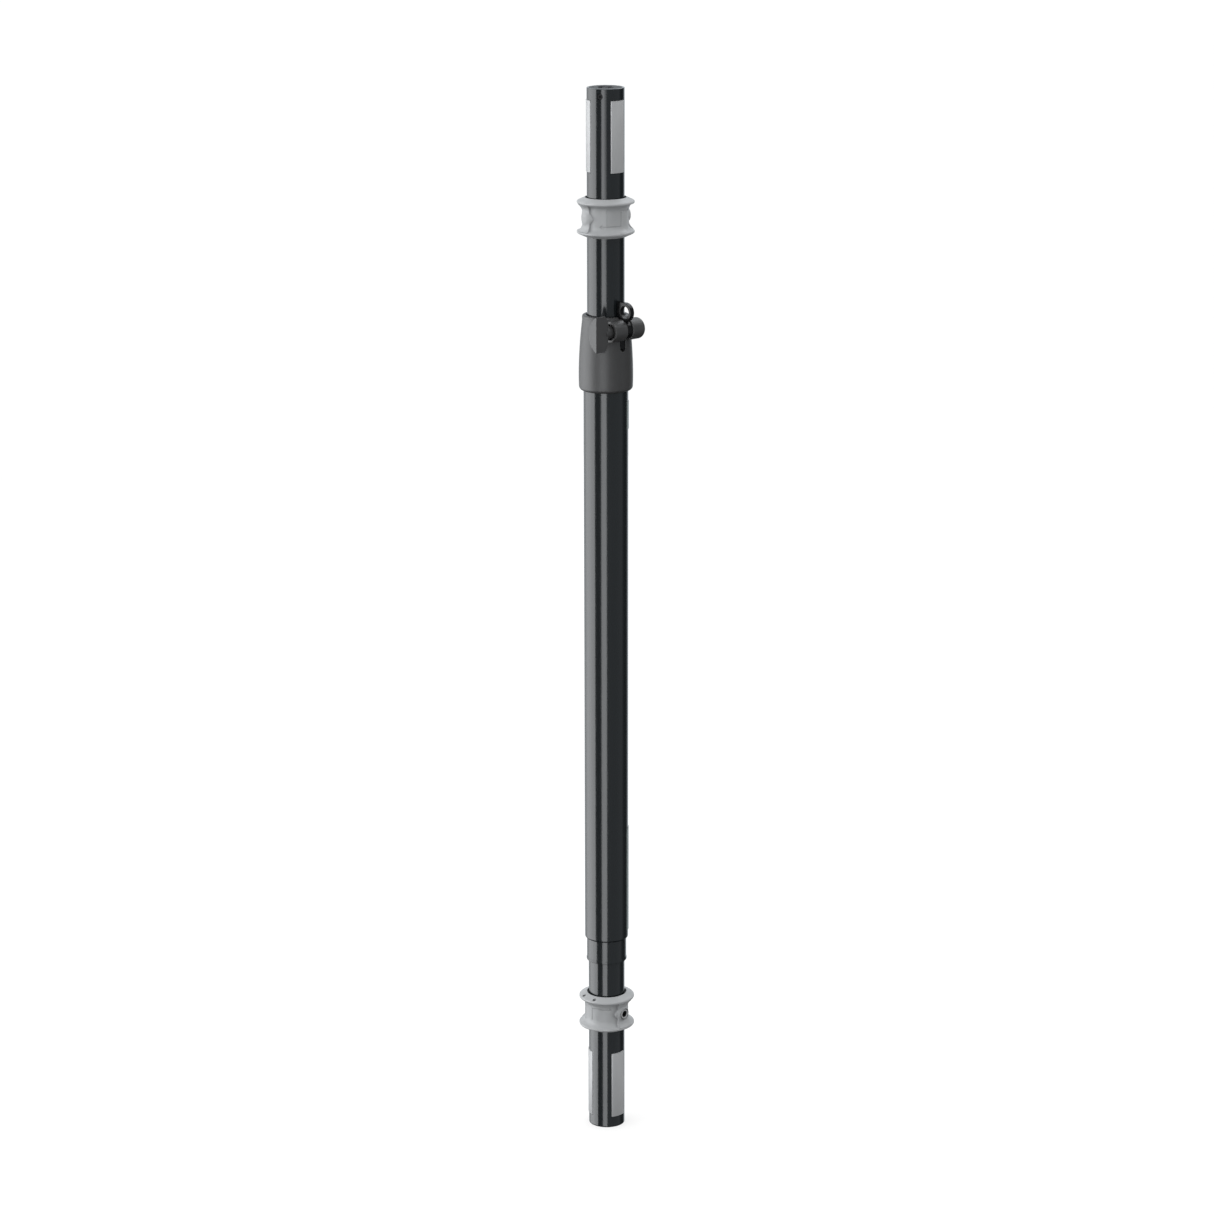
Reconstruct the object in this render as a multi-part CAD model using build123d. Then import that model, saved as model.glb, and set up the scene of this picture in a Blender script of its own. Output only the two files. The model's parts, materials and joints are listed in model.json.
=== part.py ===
"""Telescopic loudspeaker pole with expanding spigots at both ends.

Frame: millimetres, +Z up the pole, origin at the centre of the lower end face.
An azimuth of 0 faces -Y, the side of the clamp's split, and grows towards +X.
Both ends are the same mechanism. It is built once, in an end frame whose origin is
the centre of the end face and whose +Z points into the tube, and the upper end is
that frame turned over about the Y axis.
"""

from build123d import *
import math
import os

# ---- Driving dimensions -------------------------------------------------------------
POLE_LENGTH = 1017.0            # collapsed, end face to end face
PIN_RADIUS = 17.5               # the 35 mm tube that loudspeakers and subwoofers take
OUTER_RADIUS = 21.0             # outer tube
WALL = 2.0                      # both tubes
TRAVEL = 420.0                  # upper tube, collapsed to fully out
FIT = 0.02                      # radial gap of glued and pressed joints
RUN = 0.08                      # radial gap of turning and sliding joints

# Tube ends along the pole
OUTER_TUBE_BOTTOM = 193.5
OUTER_TUBE_TOP = 765.0
LOWER_TUBE_TOP = 253.0
UPPER_TUBE_BOTTOM = 275.0
END_CHAMFER = 0.5

# Reducing sleeve between the lower tube and the outer tube
SLEEVE_BOTTOM = 171.0
SLEEVE_TOP = 248.0
SLEEVE_RADIUS = 19.15
SLEEVE_LIP_RADIUS = 19.5
SLEEVE_LIP_HEIGHT = 2.2

# Expanding pads, measured from the end face
PAD_COUNT = 3
PAD_START = 11.0
PAD_END = 77.0
PAD_WIDTH = 15.3
PAD_PROUD = 0.65                # how far the pads stand out as modelled
PAD_SKIN = 3.1
PAD_GAP = 0.35                  # window edge to pad edge
RIB_WIDTH = 5.0
RIB_INNER = 7.0
DOWEL_RADIUS = 1.5
DOWEL_AT = 9.5                  # dowel axis to tube axis

# Scroll discs: spiral slots that drive the pads in and out
RING_IN_DEG = -24.0             # ring angle with the pads just below the tube's surface
RING_OUT_DEG = 40.0             # ring angle with the pads fully out
PAD_TRAVEL = 2.0                # over the whole ring angle
SCROLL_RADIUS = 13.5
SCROLL_THICK = 3.0
SCROLL_STARTS = (15.0, 70.0)
SCROLL_GAP = 0.3

# Spindle and its supports
SPINDLE_RADIUS = 4.0
SPINDLE_START = 5.0
HUB_RADIUS = 7.0
HUB_LENGTH = 18.0
BEARING_START = 84.0
BEARING_THICK = 6.0
PLUG_DEPTH = 13.5
PLUG_SHOULDER = 9.5             # full width down to here, then a nose behind the pads
PLUG_NOSE_RADIUS = 13.6
PLUG_GROOVE = (3.2, 7.6)
PLUG_GROOVE_DEPTH = 3.0
PLUG_SCREW_AT = 7.0
PLUG_SCREW_AZIMUTH = 60.0
PLUG_SCREW_RADIUS = 2.5
PLUG_HOLE_RADIUS = 2.9

# Turn ring
RING_MID = 118.75               # ring's middle to end face
RING_HEIGHT = 37.0              # mouth to mouth before rounding
RING_BORE = 18.9
RING_WAIST = 21.0
RING_EDGE = 29.2                # flange edge before rounding
RING_EDGE_Z = 13.75
RING_WAIST_Z = 10.5
RING_EDGE_ROUND = 1.5
RING_WAIST_ROUND = 6.0
BOSS_RADIUS = 6.0
BOSS_FACE = 24.4
BUSH_MARGIN = 2.0               # ring mouth down to the bush
BOLT_RADIUS = 3.0
BOLT_HEAD_RADIUS = 5.0
BOLT_HEAD_SEAT = 20.2
BOLT_HEAD_TOP = 24.2
BOLT_HEX = 5.0
BOLT_END = 22.5
LOWER_BOSS_AZIMUTH = 4.5
UPPER_BOSS_AZIMUTH = -80.0      # in the upper end's own frame

# Clamp collar
COLLAR_BOTTOM = 735.8
COLLAR_TOP = 807.0
COLLAR_OUTLINE = ((25.2, 739.4), (25.4, 752.0), (25.0, 767.0), (24.1, 782.0), (22.2, 801.0))
COLLAR_FOOT_ROUND = 3.2
COLLAR_CROWN = 20.6
COLLAR_MOUTH = 18.3
COLLAR_LIP = 2.5
SPLIT_WIDTH = 6.5
SPLIT_BOTTOM = 775.0
BARREL_Y = -25.0
BARREL_Z = 795.5
BARREL_RADIUS = 10.0
BARREL_LEFT = -18.6
BARREL_RIGHT = 19.6
BARREL_END_ROUND = 4.0
COUNTERBORE_RADIUS = 7.5
COUNTERBORE_DEPTH = 7.0

# Clamp screw, knob and nut
STUD_RADIUS = 4.0
STUD_LEFT = -36.0
STUD_RIGHT = 16.5
STUD_HOLE = 4.25
NUT_FLATS = 13.0
NUT_LEFT = 9.0
NUT_THICK = 6.5
WASHER_RADIUS = 7.0
WASHER_THICK = 1.5
KNOB_HUB_RADIUS = 6.0
KNOB_INNER = -24.2
KNOB_OUTER = -39.2
KNOB_FLAT_Y = -30.5
KNOB_HALF_SPAN = 17.0
KNOB_BULGE = 11.0
KNOB_CORNER = (4.2, 5.5)        # cut off each inner corner, along X and Z
KNOB_CORNER_ROUND = 1.5

# Safety eye
EYE_Y = -28.1
EYE_Z = 812.4
EYE_RADIUS = 8.5
EYE_HOLE = 5.7
EYE_THICK = 4.6
EYE_BACK = -18.2                # edge beside the upper tube
EYE_TOP = 821.2
EYE_WRAP = 9.2                  # around the clamp screw
EYE_TAIL_BOTTOM = 777.0
EYE_TAIL_BACK = -19.3
EYE_TAIL_FRONT = -23.2

# Labels on the outer tube
LABEL_AZIMUTH = 72.0
LABEL_SWEEP = 94.0
LABEL_THICK = 0.4
LABEL_SPANS = {"label_upper": (699.0, 725.0), "label_lower": (202.0, 306.0)}

# ---- Sizes worked out from the driving dimensions -----------------------------------
PIN_BORE = PIN_RADIUS - WALL
OUTER_BORE = OUTER_RADIUS - WALL
LINER_BOTTOM = UPPER_TUBE_BOTTOM + TRAVEL + 1.0
LINER_TOP = COLLAR_TOP - COLLAR_LIP - 0.2
PAD_AZIMUTHS = [i * 360.0 / PAD_COUNT for i in range(PAD_COUNT)]
SPIRAL_RISE = PAD_TRAVEL / (RING_OUT_DEG - RING_IN_DEG)
BASE = (Align.CENTER, Align.CENTER, Align.MIN)
UPPER_END = Location((0, 0, POLE_LENGTH), (0, 180, 0))


# ---- Helpers ------------------------------------------------------------------------
def disc(radius, start, end):
    """Round bar on the pole's axis between two heights."""
    return Pos(0, 0, start) * Cylinder(radius, end - start, align=BASE)


def sleeve(outer, inner, start, end):
    """Tube on the pole's axis between two heights."""
    return disc(outer, start, end) - disc(inner, start, end)


def facing(azimuth):
    """Turn something built facing -Y to face an azimuth."""
    return Rot(0, 0, azimuth)


def radial_bar(radius, inner, outer, height):
    """Round bar that runs from one distance from the axis to another, facing -Y."""
    return Pos(0, -inner, height) * Rot(90, 0, 0) * Cylinder(radius, outer - inner, align=BASE)


def cross_bar(radius, left, right):
    """Round bar along X on the clamp screw's axis."""
    return Pos(left, BARREL_Y, BARREL_Z) * Rot(0, 90, 0) * Cylinder(radius, right - left, align=BASE)


def block(x, y, z):
    """Box between two limits on each axis."""
    size = Box(x[1] - x[0], y[1] - y[0], z[1] - z[0], align=(Align.MIN, Align.MIN, Align.MIN))
    return Pos(x[0], y[0], z[0]) * size


# ---- One end's mechanism, in its own frame ------------------------------------------
def end_tube(length, boss_azimuth):
    """35 mm tube with its pad windows, its two bolt slots and its plug screw hole."""
    tube = sleeve(PIN_RADIUS, PIN_BORE, 0, length)
    rim = tube.edges().filter_by(GeomType.CIRCLE).group_by(Axis.Z)[0].sort_by(SortBy.RADIUS)[-1]
    tube = chamfer(rim, END_CHAMFER)
    half_window = PAD_WIDTH / 2 + PAD_GAP
    for azimuth in PAD_AZIMUTHS:
        window = block((-half_window, half_window), (-25, -10), (PAD_START - PAD_GAP, PAD_END + PAD_GAP))
        tube -= facing(azimuth) * window
    for side in (0, 180):
        tube -= facing(boss_azimuth + side) * bolt_slot()
    tube -= facing(PLUG_SCREW_AZIMUTH) * radial_bar(PLUG_HOLE_RADIUS, 12, 20, PLUG_SCREW_AT)
    return tube


def bolt_slot():
    """Room in the tube wall for the cross bolt over the ring's whole turn."""
    half = BOLT_RADIUS + 0.4
    section = Plane.XZ * Pos((PIN_BORE + PIN_RADIUS) / 2, RING_MID) * Rectangle(WALL + 2, 2 * half)
    sweep_deg = RING_OUT_DEG - RING_IN_DEG
    slot = facing(RING_IN_DEG - 90) * revolve(section, Axis.Z, sweep_deg)
    for turn in (RING_IN_DEG, RING_OUT_DEG):
        slot += facing(turn) * radial_bar(half, PIN_BORE - 1, PIN_RADIUS + 1, RING_MID)
    return slot


def end_plug():
    """Plug that closes the tube and carries the spindle's end."""
    plug = disc(PIN_BORE - FIT, 0, PLUG_SHOULDER) + disc(PLUG_NOSE_RADIUS, PLUG_SHOULDER, PLUG_DEPTH)
    plug -= sleeve(PLUG_GROOVE[1], PLUG_GROOVE[0], 0, PLUG_GROOVE_DEPTH)
    plug -= disc(SPINDLE_RADIUS + RUN, SPINDLE_START - 0.5, PLUG_DEPTH)
    hole = radial_bar(PLUG_SCREW_RADIUS + FIT, SPINDLE_RADIUS + 4, PIN_RADIUS, PLUG_SCREW_AT)
    return plug - facing(PLUG_SCREW_AZIMUTH) * hole


def plug_screw():
    """Socket set screw that pins the plug in the tube."""
    screw = radial_bar(PLUG_SCREW_RADIUS, SPINDLE_RADIUS + 4.3, PIN_RADIUS - 0.8, PLUG_SCREW_AT)
    socket = extrude(RegularPolygon(1.25, 6, major_radius=False), 2.4)
    screw -= Pos(0, -(PIN_RADIUS - 0.8), PLUG_SCREW_AT) * Rot(-90, 0, 0) * socket
    return facing(PLUG_SCREW_AZIMUTH) * screw


def spindle_bearing():
    """Disc pressed into the tube between the pads and the ring."""
    body = disc(PIN_BORE - FIT, BEARING_START, BEARING_START + BEARING_THICK)
    body -= disc(SPINDLE_RADIUS + RUN, BEARING_START, BEARING_START + BEARING_THICK)
    for azimuth in PAD_AZIMUTHS:
        hole = Pos(0, -10, BEARING_START) * Cylinder(2.5, BEARING_THICK, align=BASE)
        body -= facing(azimuth + 60) * hole
    return body


def spindle(boss_azimuth):
    """Shaft that carries the ring's turn to the scroll discs."""
    hub_start = RING_MID - HUB_LENGTH / 2
    shaft = disc(SPINDLE_RADIUS, SPINDLE_START, hub_start)
    shaft += disc(HUB_RADIUS, hub_start, hub_start + HUB_LENGTH)
    hole = radial_bar(BOLT_RADIUS + FIT, -HUB_RADIUS - 1, HUB_RADIUS + 1, RING_MID)
    return shaft - facing(boss_azimuth) * hole


def scroll_disc(start):
    """Disc with one spiral slot for each pad's dowel."""
    body = disc(SCROLL_RADIUS, start, start + SCROLL_THICK)
    body -= disc(SPINDLE_RADIUS + FIT, start, start + SCROLL_THICK)
    for azimuth in PAD_AZIMUTHS:
        points = []
        for turn in (RING_IN_DEG, (RING_IN_DEG + RING_OUT_DEG) / 2, RING_OUT_DEG):
            reach = DOWEL_AT + SPIRAL_RISE * turn
            angle = math.radians(azimuth - turn)
            points.append((reach * math.sin(angle), -reach * math.cos(angle)))
        path = ThreePointArc(*points)
        slot = SlotArc(path, 2 * (DOWEL_RADIUS + SCROLL_GAP))
        body -= Pos(0, 0, start) * extrude(slot, SCROLL_THICK)
    return body


def pad(azimuth):
    """Expanding pad: a curved skin, and a rib on its back that holds the dowel."""
    outer = PIN_RADIUS + PAD_PROUD
    skin = sleeve(outer, outer - PAD_SKIN, PAD_START, PAD_END)
    skin &= block((-PAD_WIDTH / 2, PAD_WIDTH / 2), (-outer - 1, 0), (PAD_START, PAD_END))
    face = skin.faces().sort_by(Axis.Y)[0]
    skin = chamfer(face.edges(), 0.25)
    rib_start = SCROLL_STARTS[0] + SCROLL_THICK + 0.6
    rib_end = SCROLL_STARTS[1] - 0.6
    rib_outer = outer - PAD_SKIN + 0.6
    body = skin + block((-RIB_WIDTH / 2, RIB_WIDTH / 2), (-rib_outer, -RIB_INNER), (rib_start, rib_end))
    body -= Pos(0, -DOWEL_AT, rib_start) * Cylinder(DOWEL_RADIUS + FIT, rib_end - rib_start, align=BASE)
    return facing(azimuth) * body


def pad_dowel(azimuth):
    """Steel pin through the rib, whose ends run in the two scroll discs."""
    start = SCROLL_STARTS[0] - 0.7
    end = SCROLL_STARTS[1] + SCROLL_THICK + 0.7
    return facing(azimuth) * Pos(0, -DOWEL_AT, start) * Cylinder(DOWEL_RADIUS, end - start, align=BASE)


def turn_ring(boss_azimuth):
    """Spool-shaped ring with two flanges, a screw boss and a blind boss."""
    half = RING_HEIGHT / 2
    corners = [(RING_BORE, half), (RING_EDGE, RING_EDGE_Z), (RING_WAIST, RING_WAIST_Z)]
    corners += [(radius, -height) for radius, height in reversed(corners)]
    section = make_face(Polyline(*corners, close=True))
    at_edge = [v for v in section.vertices() if v.X > RING_EDGE - 1]
    section = fillet(at_edge, RING_EDGE_ROUND)
    at_waist = [v for v in section.vertices() if abs(v.X - RING_WAIST) < 0.01]
    section = fillet(at_waist, RING_WAIST_ROUND)
    at_mouth = [v for v in section.vertices() if abs(v.Y) > half - 0.01]
    section = fillet(at_mouth, 0.5)
    ring = Pos(0, 0, RING_MID) * revolve(Plane.XZ * section, Axis.Z)
    for side in (0, 180):
        ring += facing(boss_azimuth + side) * radial_bar(BOSS_RADIUS, RING_BORE, BOSS_FACE, RING_MID)
    ring -= disc(RING_BORE, 0, RING_MID * 2)
    screw_side = radial_bar(BOLT_RADIUS + 0.3, 0, BOSS_FACE, RING_MID)
    screw_side += radial_bar(BOLT_HEAD_RADIUS + 0.15, BOLT_HEAD_SEAT, BOSS_FACE + 1, RING_MID)
    blind_side = radial_bar(BOLT_RADIUS + FIT, 0, BOLT_END + 0.3, RING_MID)
    return ring - facing(boss_azimuth) * screw_side - facing(boss_azimuth + 180) * blind_side


def ring_bush(boss_azimuth):
    """Plastic bush fixed in the ring, which turns on the tube."""
    half = RING_HEIGHT / 2 - BUSH_MARGIN
    bush = sleeve(RING_BORE - FIT, PIN_RADIUS + RUN, RING_MID - half, RING_MID + half)
    return bush - facing(boss_azimuth) * radial_bar(BOLT_RADIUS + 0.3, -25, 25, RING_MID)


def ring_bolt(boss_azimuth):
    """Low-head socket screw that joins the ring to the spindle through the tube."""
    bolt = radial_bar(BOLT_RADIUS, -BOLT_END, BOLT_HEAD_SEAT, RING_MID)
    bolt += radial_bar(BOLT_HEAD_RADIUS, BOLT_HEAD_SEAT, BOLT_HEAD_TOP, RING_MID)
    socket = extrude(RegularPolygon(BOLT_HEX / 2, 6, major_radius=False), 2.6)
    bolt -= Pos(0, -BOLT_HEAD_TOP, RING_MID) * Rot(-90, 0, 0) * socket
    return facing(boss_azimuth) * bolt


def end_mechanism(name, boss_azimuth):
    """Every loose piece of one end, by node name."""
    nodes = {
        name + "_end_plug": end_plug(),
        name + "_plug_screw": plug_screw(),
        name + "_spindle_bearing": spindle_bearing(),
        name + "_spindle": spindle(boss_azimuth),
        name + "_scroll_outer": scroll_disc(SCROLL_STARTS[0]),
        name + "_scroll_inner": scroll_disc(SCROLL_STARTS[1]),
        name + "_turn_ring": turn_ring(boss_azimuth),
        name + "_ring_bush": ring_bush(boss_azimuth),
        name + "_ring_bolt": ring_bolt(boss_azimuth),
    }
    for number, azimuth in enumerate(PAD_AZIMUTHS, start=1):
        nodes[f"{name}_pad_{number}"] = pad(azimuth)
        nodes[f"{name}_pad_dowel_{number}"] = pad_dowel(azimuth)
    return nodes


# ---- Tubes and what is fixed to them ------------------------------------------------
def outer_tube():
    """42 mm tube, rounded over at its lower edge."""
    tube = sleeve(OUTER_RADIUS, OUTER_BORE, OUTER_TUBE_BOTTOM, OUTER_TUBE_TOP)
    rim = tube.edges().filter_by(GeomType.CIRCLE).group_by(Axis.Z)[0].sort_by(SortBy.RADIUS)[-1]
    return fillet(rim, 1.4)


def reducing_sleeve():
    """Stepped sleeve that centres the lower tube in the outer tube."""
    bore = PIN_RADIUS + FIT
    step = OUTER_TUBE_BOTTOM - FIT
    body = sleeve(SLEEVE_RADIUS, bore, SLEEVE_BOTTOM, step)
    body += sleeve(OUTER_BORE - FIT, bore, step, SLEEVE_TOP)
    lip = disc(SLEEVE_LIP_RADIUS, SLEEVE_BOTTOM, SLEEVE_BOTTOM + SLEEVE_LIP_HEIGHT)
    lip = fillet(lip.edges().filter_by(GeomType.CIRCLE), 0.3)
    return body + (lip - disc(bore, SLEEVE_BOTTOM, step))


def upper_tube_foot():
    """Guide bush on the upper tube's lower end, which is also its top stop."""
    foot = disc(OUTER_BORE - 0.1, UPPER_TUBE_BOTTOM - 12, UPPER_TUBE_BOTTOM)
    foot += disc(PIN_BORE - FIT, UPPER_TUBE_BOTTOM, UPPER_TUBE_BOTTOM + 20)
    return foot - disc(12, UPPER_TUBE_BOTTOM - 12, UPPER_TUBE_BOTTOM + 20)


def label(span):
    """Thin plate wrapped on the outer tube."""
    section = Plane.XZ * Pos(OUTER_RADIUS + FIT + LABEL_THICK / 2, sum(span) / 2)
    section *= Rectangle(LABEL_THICK, span[1] - span[0])
    return facing(LABEL_AZIMUTH - LABEL_SWEEP / 2 - 90) * revolve(section, Axis.Z, LABEL_SWEEP)


# ---- Clamp --------------------------------------------------------------------------
def clamp_collar():
    """Split collar on the outer tube, with a barrel across its split for the screw."""
    side = Spline(*COLLAR_OUTLINE)
    foot_inner = (COLLAR_OUTLINE[0][0] - COLLAR_FOOT_ROUND, COLLAR_BOTTOM)
    foot = TangentArc(side @ 0, foot_inner, tangent=(side % 0) * -1)
    crown = Spline(side @ 1, (COLLAR_CROWN, COLLAR_TOP), tangents=(side % 1, (-1, 0.05)))
    rest = Polyline(crown @ 1, (10, COLLAR_TOP), (10, COLLAR_BOTTOM), foot @ 1)
    collar = revolve(Plane.XZ * make_face(side + foot + crown + rest), Axis.Z)
    barrel = cross_bar(BARREL_RADIUS, BARREL_LEFT, BARREL_RIGHT)
    ends = barrel.edges().filter_by(GeomType.CIRCLE).sort_by(Axis.X)
    barrel = fillet(ends[-1], BARREL_END_ROUND)
    barrel = fillet(barrel.edges().filter_by(GeomType.CIRCLE).sort_by(Axis.X)[0], 0.6)
    collar += barrel
    collar -= disc(OUTER_RADIUS + FIT, COLLAR_BOTTOM, OUTER_TUBE_TOP + FIT)
    collar -= disc(OUTER_BORE, OUTER_TUBE_TOP, COLLAR_TOP - COLLAR_LIP)
    collar -= disc(COLLAR_MOUTH, OUTER_TUBE_TOP, COLLAR_TOP + 1)
    half = SPLIT_WIDTH / 2
    collar -= block((-half, half), (-40, -10), (SPLIT_BOTTOM + half, COLLAR_TOP + 10))
    collar -= radial_bar(half, 10, 40, SPLIT_BOTTOM + half)
    collar -= cross_bar(STUD_HOLE, BARREL_LEFT - 1, STUD_RIGHT + 1)
    collar -= cross_bar(COUNTERBORE_RADIUS, BARREL_LEFT - 1, BARREL_LEFT + COUNTERBORE_DEPTH)
    return collar - nut_blank(FIT)


def nut_blank(extra):
    """Hexagonal nut without its hole, or its pocket with something extra all round."""
    hexagon = RegularPolygon(NUT_FLATS / 2 + extra, 6, major_radius=False)
    place = Pos(NUT_LEFT - extra, BARREL_Y, BARREL_Z) * Rot(0, 90, 0)
    return place * extrude(hexagon, NUT_THICK + 2 * extra)


def clamp_nut():
    """M8 nut moulded into the barrel's closed half."""
    return nut_blank(0) - cross_bar(STUD_RADIUS + RUN, NUT_LEFT - 1, NUT_LEFT + NUT_THICK + 1)


def clamp_liner():
    """Split plastic liner that guides and grips the upper tube."""
    liner = sleeve(OUTER_BORE - 0.05, PIN_RADIUS + RUN, LINER_BOTTOM, LINER_TOP)
    return liner - block((-1.2, 1.2), (-25, -10), (LINER_BOTTOM, LINER_TOP))


def safety_eye():
    """Lug in the split, held by the clamp screw, with an eye for a safety rope."""
    half = EYE_THICK / 2
    eye = cross_plate(EYE_RADIUS, EYE_Y, EYE_Z) + cross_plate(EYE_WRAP, BARREL_Y, BARREL_Z)
    eye += block((-half, half), (EYE_Y, EYE_BACK), (COLLAR_TOP + 0.6, EYE_TOP))
    neck_front = BARREL_Y - 3.4
    eye += block((-half, half), (neck_front, EYE_TAIL_BACK), (BARREL_Z, EYE_Z))
    eye += block((-half, half), (EYE_TAIL_FRONT, EYE_TAIL_BACK), (EYE_TAIL_BOTTOM, BARREL_Z))
    eye -= block((-half, half), (EYE_TAIL_BACK, 0), (BARREL_Z - 15, COLLAR_TOP + 0.6))
    eye -= cross_plate(EYE_HOLE, EYE_Y, EYE_Z)
    return eye - cross_plate(STUD_HOLE, BARREL_Y, BARREL_Z)


def cross_plate(radius, y, z):
    """Round plate in the split, as thick as the eye."""
    return Pos(0, y, z) * Rot(0, 90, 0) * Cylinder(radius, EYE_THICK)


def wing_knob():
    """D-shaped knob: a flat for the thumb, a rounded back, two cut corners and a hub."""
    high = BARREL_Z + KNOB_HALF_SPAN
    low = BARREL_Z - KNOB_HALF_SPAN
    back = (KNOB_FLAT_Y + KNOB_BULGE, BARREL_Z)
    outline = ThreePointArc((KNOB_FLAT_Y, high), back, (KNOB_FLAT_Y, low))
    outline += Line((KNOB_FLAT_Y, low), (KNOB_FLAT_Y, high))
    knob = Pos(KNOB_OUTER, 0, 0) * extrude(Plane.YZ * make_face(outline), KNOB_INNER - KNOB_OUTER)
    shoulder = KNOB_INNER - KNOB_CORNER[0]
    reach = KNOB_HALF_SPAN - KNOB_CORNER[1]
    side = [(KNOB_OUTER, high), (shoulder, high), (KNOB_INNER, BARREL_Z + reach)]
    side += [(KNOB_INNER, BARREL_Z - reach), (shoulder, low), (KNOB_OUTER, low)]
    side_view = make_face(Polyline(*side, close=True))
    inner_corners = [v for v in side_view.vertices() if v.X > KNOB_OUTER + 1]
    side_view = fillet(inner_corners, KNOB_CORNER_ROUND)
    knob &= extrude(Plane.XZ * side_view, 60)
    knob = fillet(knob.edges(), 0.5)
    washer_face = BARREL_LEFT + COUNTERBORE_DEPTH - WASHER_THICK
    knob += cross_bar(KNOB_HUB_RADIUS, KNOB_INNER - 3, washer_face)
    return knob - cross_bar(STUD_RADIUS + FIT, STUD_LEFT - FIT, washer_face)


def clamp_stud():
    """M8 stud fixed in the knob."""
    stud = cross_bar(STUD_RADIUS, STUD_LEFT, STUD_RIGHT)
    return chamfer(stud.edges().filter_by(GeomType.CIRCLE), 0.8)


def thrust_washer():
    """Washer on the counterbore's floor, under the knob's hub."""
    floor = BARREL_LEFT + COUNTERBORE_DEPTH
    washer = cross_bar(WASHER_RADIUS, floor - WASHER_THICK, floor)
    return washer - cross_bar(STUD_HOLE, floor - WASHER_THICK, floor)


# ---- Assembly -----------------------------------------------------------------------
def build():
    """All nodes, by name, in the pole's frame."""
    nodes = {
        "outer_tube": outer_tube(),
        "reducing_sleeve": reducing_sleeve(),
        "lower_tube": end_tube(LOWER_TUBE_TOP, LOWER_BOSS_AZIMUTH),
        "upper_tube": UPPER_END * end_tube(POLE_LENGTH - UPPER_TUBE_BOTTOM, UPPER_BOSS_AZIMUTH),
        "upper_tube_foot": upper_tube_foot(),
        "clamp_collar": clamp_collar(),
        "clamp_liner": clamp_liner(),
        "clamp_nut": clamp_nut(),
        "clamp_stud": clamp_stud(),
        "thrust_washer": thrust_washer(),
        "wing_knob": wing_knob(),
        "safety_eye": safety_eye(),
    }
    for name, span in LABEL_SPANS.items():
        nodes[name] = label(span)
    nodes.update(end_mechanism("lower", LOWER_BOSS_AZIMUTH))
    for name, shape in end_mechanism("upper", UPPER_BOSS_AZIMUTH).items():
        nodes[name] = UPPER_END * shape
    return nodes


os.makedirs("parts", exist_ok=True)
for node_name, node_shape in build().items():
    export_step(node_shape, f"parts/{node_name}.step")
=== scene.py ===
import json
import math

import bmesh
import bpy
import numpy as np
from mathutils import Matrix, Vector


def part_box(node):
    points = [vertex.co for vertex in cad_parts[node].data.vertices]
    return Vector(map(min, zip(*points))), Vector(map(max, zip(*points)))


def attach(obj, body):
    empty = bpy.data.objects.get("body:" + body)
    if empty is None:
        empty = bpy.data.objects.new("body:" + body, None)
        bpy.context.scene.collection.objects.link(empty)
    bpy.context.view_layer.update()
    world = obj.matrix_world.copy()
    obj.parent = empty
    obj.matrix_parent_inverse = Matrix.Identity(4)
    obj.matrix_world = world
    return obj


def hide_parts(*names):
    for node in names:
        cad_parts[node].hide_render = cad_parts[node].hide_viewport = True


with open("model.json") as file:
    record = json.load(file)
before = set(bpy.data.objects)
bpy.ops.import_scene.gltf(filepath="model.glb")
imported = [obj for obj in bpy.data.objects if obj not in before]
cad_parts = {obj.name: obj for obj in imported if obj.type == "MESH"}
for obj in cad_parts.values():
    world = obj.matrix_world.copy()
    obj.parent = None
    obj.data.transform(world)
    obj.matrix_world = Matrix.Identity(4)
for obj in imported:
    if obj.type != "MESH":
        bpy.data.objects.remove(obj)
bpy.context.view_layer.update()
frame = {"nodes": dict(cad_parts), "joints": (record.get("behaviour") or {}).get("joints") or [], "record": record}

# Looks of the telescopic loudspeaker pole. Lengths in the tables below are millimetres,
# and every mesh is made in metres. An azimuth of 0 faces -Y and grows towards +X.
# Each end has its own frame: origin at the end face, +Z into the tube. The upper end is
# that frame turned over about the Y axis.

MM = 0.001
RECORD = frame["record"]
BODY_OF = {n: body for body, names in RECORD["behaviour"]["bodies"].items() for n in names}
JOINTS = {joint["name"]: joint for joint in frame["joints"]}
POLE_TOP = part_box("upper_tube")[1].z
END_FRAMES = {
    "lower": Matrix.Identity(4),
    "upper": Matrix.Translation((0, 0, POLE_TOP)) @ Matrix.Rotation(math.pi, 4, "Y"),
}

PIN_RADIUS = 17.5
WALL = 2.0
OUTER_RADIUS = 21.0
PAD_AZIMUTHS = (0.0, 120.0, 240.0)
PAD_WIDTH = 15.3
PAD_PROUD = 0.65
PAD_SKIN = 3.1
PAD_GAP = 0.35
PLUG_SCREW_AZIMUTH = 60.0
PLUG_SCREW_AT = 7.0
PLUG_HOLE_RADIUS = 2.9
BOSS_AZIMUTH = {"lower": 4.5, "upper": -80.0}
RING_TURN = (-24.0, 40.0)
SLOT_HALF_HEIGHT = 3.4          # slot in the tube for the ring's bolt
SLOT_PAST_BOLT = 13.0           # degrees of slot past the bolt's own turn
SHADE_ATTRIBUTE = "painted_shade_amount"               # mesh attribute of painted shade: 0 on open faces, 1 where the colour is painted fully dark as shade


# ---- Materials ----------------------------------------------------------------------
def grain(tree, scale, detail, stretch):
    """A noise pattern in the object's own metres."""
    coords = tree.nodes.new("ShaderNodeTexCoord")
    place = tree.nodes.new("ShaderNodeMapping")
    place.inputs["Scale"].default_value = stretch
    tree.links.new(coords.outputs["Object"], place.inputs["Vector"])
    texture = tree.nodes.new("ShaderNodeTexNoise")
    texture.inputs["Scale"].default_value = scale
    texture.inputs["Detail"].default_value = detail
    tree.links.new(place.outputs["Vector"], texture.inputs["Vector"])
    return texture.outputs[0]


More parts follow.
